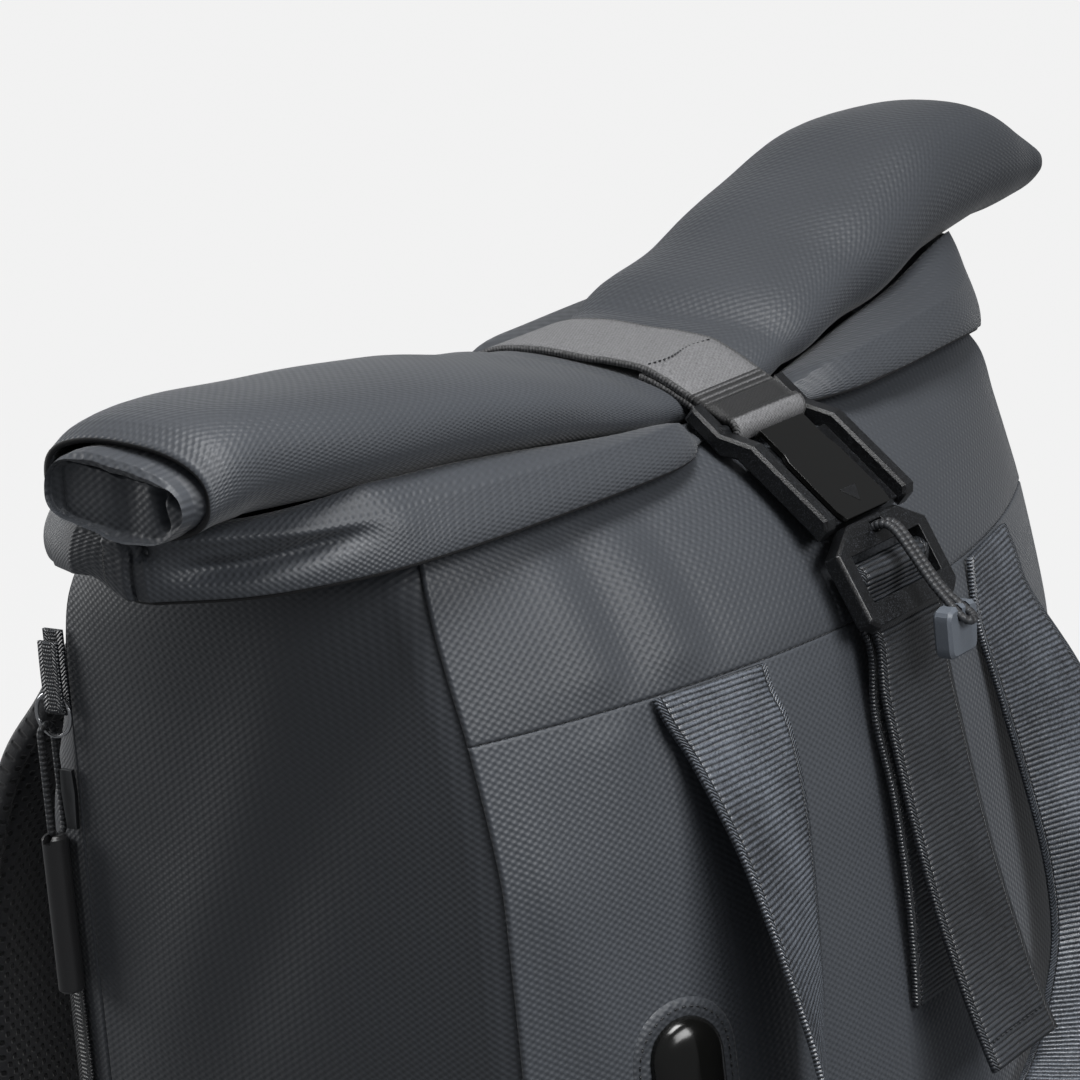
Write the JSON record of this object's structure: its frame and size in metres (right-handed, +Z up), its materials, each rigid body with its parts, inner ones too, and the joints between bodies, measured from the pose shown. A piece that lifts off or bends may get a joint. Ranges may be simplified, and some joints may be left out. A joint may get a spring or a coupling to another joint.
{
  "type": "rolltop backpack",
  "caption": "Upright fabric backpack with a rolled top held down by a webbing strap and a slide buckle, a hanging front handle, side hardware and padded shoulder straps.",
  "frame": {"origin": "middle of the flat base, on the floor", "axes": "+Z up, -Y towards the front with the buckle and handle, +X to the wearer's right when the bag is worn"},
  "size_m": [0.4635, 0.3483, 0.4697],
  "materials": {
    "fabric": "coated woven cloth, semi-matt",
    "webbing": "ribbed webbing",
    "mesh": "padded spacer mesh, matt",
    "plastic": "satin to glossy black",
    "metal": "dark, satin"
  },
  "bodies": {
    "root": {"bag_body": "fabric", "rolled_top": "fabric", "roll_tuck_left": "fabric", "roll_tuck_right": "fabric", "collar_fold": "fabric", "closure_strap": "webbing", "buckle_frame": "plastic", "buckle_cover": "plastic", "buckle_base": "plastic", "adjuster_bar": "plastic", "front_strap": "webbing", "pull_cord": "webbing", "pull_tab": "plastic", "front_handle": "webbing", "port_patch": "fabric", "port_cover": "plastic", "side_zip": "webbing", "zip_slider": "metal", "side_loop": "webbing", "loop_ring": "metal", "pull_loop": "webbing", "pull_tube": "metal", "back_pad": "mesh", "shoulder_strap_left": "mesh", "shoulder_strap_right": "mesh", "lower_webbing_left": "webbing", "lower_webbing_right": "webbing", "haul_loop": "webbing"}
  },
  "joints": []
}
